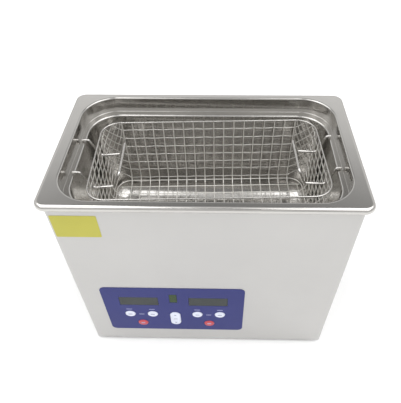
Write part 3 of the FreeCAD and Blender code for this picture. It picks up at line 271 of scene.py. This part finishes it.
def join(parts):
    """Points and faces of several parts as one."""
    points, faces = [], []
    for part_points, part_faces in parts:
        offset = len(points)
        points.extend(part_points)
        faces.extend(tuple(index + offset for index in face) for face in part_faces)
    return points, faces


def tube(path, radius, sides=10, closed=False):
    """Round wire along points, with domed ends when it isn't closed."""
    spots = [Vector(point) for point in path]
    count = len(spots)
    tangents = []
    for index in range(count):
        if closed:
            before, after = spots[index - 1], spots[(index + 1) % count]
        else:
            before, after = spots[max(index - 1, 0)], spots[min(index + 1, count - 1)]
        tangents.append((after - before).normalized())
    helper = Vector((0, 0, 1)) if abs(tangents[0].z) < 0.9 else Vector((1, 0, 0))
    side = tangents[0].cross(helper).normalized()
    rings = []
    for spot, tangent in zip(spots, tangents):
        side = (side - tangent * side.dot(tangent)).normalized()
        rings.append((spot, tangent, side, radius))
    if not closed:
        first, last = rings[0], rings[-1]
        start, end = [], []
        for share in DOME_SHARES:
            ahead = radius * math.sqrt(1 - share ** 2)
            start.append((first[0] - first[1] * ahead, first[1], first[2], radius * share))
            end.insert(0, (last[0] + last[1] * ahead, last[1], last[2], radius * share))
        rings = start + rings + end
    loops = []
    for spot, tangent, across, ring_radius in rings:
        up = tangent.cross(across)
        loops.append([tuple(spot + (across * math.cos(turn) + up * math.sin(turn)) * ring_radius)
                      for turn in (2 * math.pi * step / sides for step in range(sides))])
    if closed:
        return skin_loops(loops + [loops[0]], cap_ends=False)
    return skin_loops(loops)


# ---------------------------------------------------------------- tank
RIM_HALF_X, RIM_HALF_Y, RIM_CORNER = 165.0, 97.5, 12.0
RIM_TOP, RIM_SKIRT = 280.0, 271.7
RIM_ROLL, RIM_LIP = 4.0, 3.6
OPENING, OPENING_CORNER = (149.0, 87.0), 37.0
WELL, WELL_CORNER = (143.0, 78.0), 34.0
LEDGE, WELL_FLOOR = 260.5, 130.0
EDGE_ROUND, STEP_ROUND, FLOOR_ROUND = 2.0, 0.5, 27.0
SHEET = 1.0
FLAT_START = 0.6
BOWL_STEPS = 20


def fillet_steps(count=8):
    """Angles over a quarter of a turn."""
    return [math.radians(90 * step / count) for step in range(count + 1)]


def tank_loops(sheet):
    """Loops over the tank's upper side, or its lower side when sheet is the sheet's thickness."""
    loops = []
    top, ledge, floor = RIM_TOP - sheet, LEDGE - sheet, WELL_FLOOR - sheet
    roll, edge, step, bowl = RIM_ROLL - sheet, EDGE_ROUND - sheet, STEP_ROUND + sheet, FLOOR_ROUND + sheet

    def rim(inward, z):
        loops.append(rounded_loop(RIM_HALF_X - inward, RIM_HALF_Y - inward, RIM_CORNER - inward, z))

    def ring(half, corner, offset, z):
        loops.append(rounded_loop(half[0] + offset, half[1] + offset, corner + offset, z))

    rim(RIM_LIP, RIM_SKIRT + sheet)
    for angle in fillet_steps():
        rim(RIM_ROLL - roll * math.sin(angle), RIM_SKIRT + RIM_ROLL - roll * math.cos(angle))
    for angle in fillet_steps():
        rim(RIM_ROLL - roll * math.cos(angle), RIM_TOP - RIM_ROLL + roll * math.sin(angle))
    rim(RIM_ROLL + FLAT_START, top)

    ring(OPENING, OPENING_CORNER, EDGE_ROUND + FLAT_START, top)
    for angle in fillet_steps():
        across, down = 1 - math.sin(angle), 1 - math.cos(angle)
        ring(OPENING, OPENING_CORNER, sheet + edge * across, top - edge * down)
    for angle in fillet_steps():
        across, up = 1 - math.cos(angle), 1 - math.sin(angle)
        ring(OPENING, OPENING_CORNER, sheet - step * across, ledge + step * up)
    for angle in fillet_steps():
        across, down = 1 - math.sin(angle), 1 - math.cos(angle)
        ring(WELL, WELL_CORNER, sheet + edge * across, ledge - edge * down)
    for angle in fillet_steps(BOWL_STEPS):
        across, up = 1 - math.cos(angle), 1 - math.sin(angle)
        ring(WELL, WELL_CORNER, sheet - bowl * across, floor + bowl * up)
    ring(WELL, WELL_CORNER, -FLOOR_ROUND - FLAT_START, floor)
    return loops


def build_tank():
    upper = tank_loops(0.0)
    lower = tank_loops(SHEET)
    points, faces = skin_loops(list(reversed(lower)) + upper)
    make_piece("tank_body", points, [tuple(reversed(face)) for face in faces], "housing", M["tank"],
               ["tank"], "tank_steel", weighted=True)


build_tank()


# ---------------------------------------------------------------- basket
HALF_X, HALF_Y = 130.4, 66.0
BASKET_FLOOR, BASKET_TOP = 160.0, 258.0
BASKET_CORNER, LOWER_BEND = 21.6, 14.0
PITCH, ROW_PITCH, FIRST_ROW, ROWS = 12.7, 13.3, 167.0, 7
WIRE, ROW_WIRE, CRIMP, STEP = 0.7, 0.55, 0.3, 1.6
BASKET_TURN = math.radians(2.1)
WIRE_TOP = BASKET_TOP - 0.4
CLIMB_START, CLIMB_END = 32, 78
ROW_OUTSET, HOOP_INSET = 0.4, 0.3
BEND_STEPS, FLOOR_CRIMP = 8, 0.5
CROSS_WIRES, LONG_WIRES = 18, 7
EDGE_X, EDGE_Y = 9.5 * PITCH, 4 * PITCH
EDGE_LIFT, EDGE_CORNER_GAP = 1.0, 8
RING_INSET, RING_LIFT, RING_ARC_STEPS = 4.0, 2.4, 10


def basket_middle():
    low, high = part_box("basket_top_wire")
    return (low.x + high.x) / 2 / MM, (low.y + high.y) / 2 / MM


def in_basket(path):
    """Path in the basket's own frame, set where the basket hangs in the tank."""
    middle_x, middle_y = basket_middle()
    cosine, sine = math.cos(BASKET_TURN), math.sin(BASKET_TURN)
    return [(middle_x + x * cosine - y * sine, middle_y + x * sine + y * cosine, z) for x, y, z in path]


def wall_inset(z):
    """How far the wall has turned in at a height, over the round of the lower edge."""
    low = BASKET_FLOOR + LOWER_BEND - z
    return 0.0 if low <= 0 else LOWER_BEND - math.sqrt(max(LOWER_BEND ** 2 - low ** 2, 0.0))


def wave(distance, pitch, phase):
    """Crimp of a wire at a distance along it."""
    return CRIMP * math.cos(math.pi * distance / pitch + phase)


def row_wire(half_long, half_deep, height, phase):
    """Row of one wall, which climbs to the top wire round the corner at each of its ends.

    The wall faces -Y here: half_long is its half length along X, and half_deep its distance in -Y.
    """
    inset = wall_inset(height)
    straight, side = half_long - BASKET_CORNER, half_deep - BASKET_CORNER
    climb = []
    z, turn = height, 0.0
    while z < WIRE_TOP and turn < 90:
        share = turn / 90
        z += STEP * math.tan(math.radians(CLIMB_START + (CLIMB_END - CLIMB_START) * share))
        turn += math.degrees(STEP / BASKET_CORNER)
        push = wave(z, ROW_PITCH, phase)
        reach = BASKET_CORNER - wall_inset(z) + push
        angle = math.radians(-90 + min(turn, 90))
        climb.append((straight + reach * math.cos(angle), reach * math.sin(angle) - side, min(z, WIRE_TOP)))
    while z < WIRE_TOP:
        z += STEP
        climb.append((half_long + ROW_OUTSET, -side, min(z, WIRE_TOP)))
    steps = round(2 * straight / STEP)
    level = []
    for step in range(steps + 1):
        x = -straight + 2 * straight * step / steps
        level.append((x, -(half_deep - inset) - wave(x, PITCH, phase + math.pi / 2), height))
    mirrored = [(-x, y, z) for x, y, z in reversed(climb)]
    return mirrored + level + climb


def hoop(half_span, place, phase):
    """Wire down one wall, under the floor and up the other; it runs along X at Y = place."""
    profile = []
    z = WIRE_TOP
    while z > BASKET_FLOOR + LOWER_BEND:
        profile.append((half_span - HOOP_INSET + wave(z, ROW_PITCH, phase), z))
        z -= STEP
    for angle in fillet_steps(BEND_STEPS):
        profile.append((half_span - LOWER_BEND * (1 - math.cos(angle)) - HOOP_INSET,
                        BASKET_FLOOR + LOWER_BEND * (1 - math.sin(angle))))
    across = half_span - LOWER_BEND
    steps = round(across / STEP)
    floor_run = []
    for step in range(1, steps + 1):
        travelled = across * step / steps
        floor_run.append((across - travelled, BASKET_FLOOR + wave(travelled, PITCH, phase) * FLOOR_CRIMP))
    half = profile + floor_run
    return [(x, place, z) for x, z in half] + [(-x, place, z) for x, z in reversed(half[:-1])]


def quarter_turn(path):
    """Path of a long wall brought to an end wall."""
    return [(-y, x, z) for x, y, z in path]


def half_turn(path):
    """Path of a wall brought to the wall across from it."""
    return [(-x, -y, z) for x, y, z in path]


def mesh_wires(paths, radius=WIRE):
    return join([tube(in_basket(path), radius, 8) for path in paths])


def build_basket():
    """Pressed wire mesh: wires that cross the floor and climb the walls, and rows that climb the corners."""
    rows = []
    for row in range(ROWS):
        height = FIRST_ROW + row * ROW_PITCH
        phase = math.pi * row
        front = row_wire(HALF_X, HALF_Y, height, phase)
        end = quarter_turn(row_wire(HALF_Y, HALF_X, height, phase + math.pi))
        rows.extend([front, half_turn(front), end, half_turn(end)])
    # Rows take the darker copy of the basket steel, painted shade.
    make_piece("basket_rows", *mesh_wires(rows, ROW_WIRE), "basket", M["row_wire"], ["basket_corners"],
               "basket_wire")

    # Wires over the floor and up the walls take the lighter copy of the basket steel, painted light.
    cross = [quarter_turn(hoop(HALF_Y, -(index - (CROSS_WIRES - 1) / 2) * PITCH, math.pi * index))
             for index in range(CROSS_WIRES)]
    make_piece("basket_cross_wires", *mesh_wires(cross), "basket", M["wire"],
               ["basket_front", "basket_back"], "basket_wire")
    long = [hoop(HALF_X, (index - (LONG_WIRES - 1) / 2) * PITCH, math.pi * index)
            for index in range(LONG_WIRES)]
    make_piece("basket_long_wires", *mesh_wires(long), "basket", M["wire"],
               ["basket_left_end", "basket_right_end"], "basket_wire")

    floor = []
    reach_x = HALF_X - LOWER_BEND / 2
    reach_y = HALF_Y - LOWER_BEND / 2 - EDGE_CORNER_GAP
    level = BASKET_FLOOR + EDGE_LIFT
    for y in (-EDGE_Y, EDGE_Y):
        floor.append([(-reach_x, y, level), (reach_x, y, level)])
    for x in (-EDGE_X, EDGE_X):
        floor.append([(x, -reach_y, level), (x, reach_y, level)])
    ring = rounded_loop(HALF_X - RING_INSET, HALF_Y - RING_INSET, BASKET_CORNER - RING_INSET,
                        BASKET_FLOOR + RING_LIFT, RING_ARC_STEPS)
    points, faces = mesh_wires(floor)
    edge = tube(in_basket(ring), WIRE, 8, closed=True)
    make_piece("basket_floor_wires", *join([(points, faces), edge]), "basket", M["wire"], ["basket_floor"],
               "basket_wire")


build_basket()


# ---------------------------------------------------------------- keys and panel marks
INK_DEPTH, KEY_INK_DROP, MARK_CORNER = 0.06, 0.03, 0.25
ARROW_BASE, ARROW_TIP = 0.6, 0.75


def front_middle(low, high):
    """Middle of a box seen from the front, as X and Z in millimetres."""
    return (low.x + high.x) / 2 / MM, (low.z + high.z) / 2 / MM


def turned(profile, centre, sides=40):
    """Solid turned about an axis along Y; the profile is (radius, y) pairs from the front centre."""
    turns = [2 * math.pi * step / sides for step in range(sides)]
    return skin_loops([[(centre[0] + radius * math.cos(turn), y, centre[1] + radius * math.sin(turn))
                        for turn in turns] for radius, y in profile])


def upright_loop(half_x, half_z, corner, y, middle):
    """Rounded rectangle that faces the front."""
    flat = rounded_loop(half_x, half_z, corner, 0.0, arc_steps=14)
    return [(middle[0] + x, y, middle[1] + z) for x, z, unused in flat]


def mark(x, z, half_x, half_z, y):
    """Small printed bar, as a thin raised pad on a face at y."""
    return skin_loops([upright_loop(half_x, half_z, MARK_CORNER, y, (x, z)),
                       upright_loop(half_x, half_z, MARK_CORNER, y - INK_DEPTH, (x, z))])


def arrow(x, z, size, y, up):
    """Small printed triangle."""
    sign = 1 if up else -1
    base, tip = -sign * size * ARROW_BASE, sign * size * ARROW_TIP
    corners = [(-size, base), (size, base), (0.0, tip)]
    back = [(x + a, y, z + b) for a, b in corners]
    front = [(x + a, y - INK_DEPTH, z + b) for a, b in corners]
    return skin_loops([back, front])


KEY_PROFILE = [(0.3, 0.0), (2.5, 0.015), (4.2, 0.06), (5.3, 0.14), (5.9, 0.26), (6.3, 0.5), (6.47, 0.8),
               (6.5, 1.2), (6.5, 2.55), (6.6, 2.6), (8.0, 2.6), (8.0, 3.6), (2.0, 3.6), (2.0, 6.35),
               (0.3, 6.35)]
KEY_MARK, KEY_MARK_LIFT = (2.6, 0.8), 0.2


def build_round_key(node_name, material, slot):
    low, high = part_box(node_name)
    centre = front_middle(low, high)
    front = low.y / MM
    points, faces = turned([(radius, front + depth) for radius, depth in KEY_PROFILE], centre)
    make_piece(node_name + "_cap", points, faces, node_name, material, [node_name], slot)
    ink = M["grey_ink"] if material is M["white_key"] else M["ink"]
    legend = mark(centre[0], centre[1] + KEY_MARK_LIFT, *KEY_MARK, front + KEY_INK_DROP)
    make_piece(node_name + "_mark", *legend, node_name, ink)


for number in range(1, 5):
    build_round_key(f"round_key_{number}", M["white_key"], "white_keys")
for side in ("left", "right"):
    build_round_key(f"red_key_{side}", M["red_key"], "red_keys")


PADDLE_PROFILE = [(4.5, 0.0), (3.0, 0.02), (1.6, 0.10), (0.8, 0.24), (0.25, 0.5), (0.05, 0.85),
                  (0.0, 1.3), (0.0, 4.5)]
PADDLE_HALF_X, PADDLE_HALF_Z, PADDLE_CORNER_GAP = 6.7, 15.5, 0.01
AXLE_REACH, AXLE_DEPTH, AXLE_RADIUS = 9.0, 5.0, 1.2
STEM_PLACE, STEM_DEPTHS, STEM_RADIUS, ROD_SIDES = 11, (4.0, 4.6), 2.0, 16
ARROW_PLACE, ARROW_SIZE, PADDLE_MARK = 9.5, 1.9, (2.4, 0.7)


def build_tall_key():
    """Paddle that rocks on its axle; the profile is (inset, depth) pairs from its front face."""
    low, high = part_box("tall_key")
    middle = front_middle(low, high)
    front = low.y / MM
    loops = []
    for inset, depth in PADDLE_PROFILE:
        half = PADDLE_HALF_X - inset
        loops.append(upright_loop(half, PADDLE_HALF_Z - inset, half - PADDLE_CORNER_GAP, front + depth,
                                  middle))
    paddle = skin_loops(loops)
    axle = tube([(middle[0] + dx, front + AXLE_DEPTH, middle[1]) for dx in (-AXLE_REACH, AXLE_REACH)],
                AXLE_RADIUS, ROD_SIDES)
    stems = []
    for dz in (-STEM_PLACE, STEM_PLACE):
        ends = [(middle[0], front + depth, middle[1] + dz) for depth in STEM_DEPTHS]
        stems.append(tube(ends, STEM_RADIUS, ROD_SIDES))
    make_piece("tall_key_paddle", *join([paddle, axle, *stems]), "tall_key", M["white_key"], ["tall_key"],
               "white_keys")
    face = front + KEY_INK_DROP
    marks = [arrow(middle[0], middle[1] + ARROW_PLACE, ARROW_SIZE, face, True),
             mark(*middle, *PADDLE_MARK, face),
             arrow(middle[0], middle[1] - ARROW_PLACE, ARROW_SIZE, face, False)]
    make_piece("tall_key_marks", *join(marks), "tall_key", M["grey_ink"])


build_tall_key()


CAPTION, CAPTION_RISE = (3.6, 0.55), 11.4
BETWEEN_MARK, BETWEEN_DROP = (3.4, 0.55), 1.0


def build_panel_marks():
    """Short printed bars where a panel has its legends, over each white key and between two of them."""
    low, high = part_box("panel_overlay")
    y = low.y / MM
    keys = {name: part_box(name) for name in ("round_key_1", "round_key_2", "round_key_3", "round_key_4")}
    marks = []
    for name, (key_low, key_high) in keys.items():
        x, z = front_middle(key_low, key_high)
        marks.append(mark(x, z + CAPTION_RISE, *CAPTION, y))
    for first, second in (("round_key_1", "round_key_2"), ("round_key_3", "round_key_4")):
        x = (keys[first][0].x + keys[second][1].x) / 2 / MM
        z = (keys[first][0].z + keys[first][1].z) / 2 / MM
        marks.append(mark(x, z - BETWEEN_DROP, *BETWEEN_MARK, y))
    make_piece("panel_legends", *join(marks), "housing", M["ink"])


build_panel_marks()


# ---------------------------------------------------------------- studio
FLOOR_REACH = 12.0
LIGHT_STRENGTH, LIGHT_SPREAD, LIGHT_ELEVATION = 0.80, 40, 58
LIGHT_AZIMUTHS = (-105, -50, 50, 105)
WORLD_STOPS = ((0.0, 0.35), (0.12, 0.60), (0.45, 1.0), (0.55, 1.0), (0.66, 0.54), (0.74, 0.23),
               (0.86, 0.28), (0.95, 0.66), (1.0, 0.80))
SENSOR, LENS, SHIFT_X, SHIFT_Y = 36.0, 38.44138, -0.0310174, -0.0037221
CAMERA_PLACE = (0.01743, -0.36870, 0.57964)
CAMERA_YAW, CAMERA_PITCH, CAMERA_ROLL = -1.694, 46.60, -0.665


def build_floor():
    mesh = bpy.data.meshes.new("studio_floor")
    reach = FLOOR_REACH
    mesh.from_pydata([(-reach, -reach, 0), (reach, -reach, 0), (reach, reach, 0), (-reach, reach, 0)], [],
                     [(0, 1, 2, 3)])
    floor = bpy.data.objects.new("studio_floor", mesh)
    bpy.context.scene.collection.objects.link(floor)
    paint(floor, surface("studio_paper", (0.93, 0.93, 0.93), 0.9, tone=0.005, cloud=3,
                         grain=400, grain_bump=0.02, specular=0.2))


def sun(name, strength, spread, elevation, azimuth):
    """Soft distant light. Azimuth 0 comes from the front, 90 from the right."""
    data = bpy.data.lights.new(name, "SUN")
    data.energy = strength
    data.angle = math.radians(spread)
    lamp = bpy.data.objects.new(name, data)
    bpy.context.scene.collection.objects.link(lamp)
    rise, swing = math.radians(elevation), math.radians(azimuth)
    source = Vector((math.cos(rise) * math.sin(swing), -math.cos(rise) * math.cos(swing), math.sin(rise)))
    lamp.rotation_euler = source.to_track_quat("Z", "Y").to_euler()


def build_world():
    """Grey room: bright at the horizon, darker above it, and lighter again overhead."""
    world = bpy.data.worlds.new("studio")
    world.use_nodes = True
    bpy.context.scene.world = world
    tree = world.node_tree
    place = tree.nodes.new("ShaderNodeTexCoord")
    split = tree.nodes.new("ShaderNodeSeparateXYZ")
    tree.links.new(place.outputs["Generated"], split.inputs["Vector"])
    ramp = tree.nodes.new("ShaderNodeValToRGB")
    ramp.color_ramp.elements[0].position = WORLD_STOPS[0][0]
    ramp.color_ramp.elements[1].position = WORLD_STOPS[-1][0]
    for position, value in WORLD_STOPS[1:-1]:
        ramp.color_ramp.elements.new(position)
    for element, (position, value) in zip(ramp.color_ramp.elements, WORLD_STOPS):
        element.position = position
        element.color = (value, value, value, 1.0)
    tree.links.new(split.outputs["Z"], ramp.inputs["Fac"])
    tree.links.new(ramp.outputs["Color"], tree.nodes["Background"].inputs["Color"])
    tree.nodes["Background"].inputs["Strength"].default_value = 1.0


def build_camera():
    data = bpy.data.cameras.new("camera")
    data.sensor_width = SENSOR
    data.lens = LENS
    data.shift_x = SHIFT_X
    data.shift_y = SHIFT_Y
    data.clip_start = 0.01
    camera = bpy.data.objects.new("camera", data)
    bpy.context.scene.collection.objects.link(camera)
    yaw, pitch, roll = (math.radians(angle) for angle in (CAMERA_YAW, CAMERA_PITCH, CAMERA_ROLL))
    ahead = Vector((math.sin(yaw) * math.cos(pitch), math.cos(yaw) * math.cos(pitch), -math.sin(pitch)))
    right = Vector((math.cos(yaw), -math.sin(yaw), 0))
    up = right.cross(ahead)
    right_rolled = right * math.cos(roll) + up * math.sin(roll)
    up_rolled = up * math.cos(roll) - right * math.sin(roll)
    turn = Matrix((right_rolled, up_rolled, -ahead)).transposed().to_4x4()
    camera.matrix_world = Matrix.Translation(CAMERA_PLACE) @ turn
    bpy.context.scene.camera = camera


build_floor()
build_world()
for azimuth in LIGHT_AZIMUTHS:
    sun(f"soft_light_{azimuth}", LIGHT_STRENGTH, LIGHT_SPREAD, LIGHT_ELEVATION, azimuth)
build_camera()
bpy.context.scene.view_settings.view_transform = "Standard"
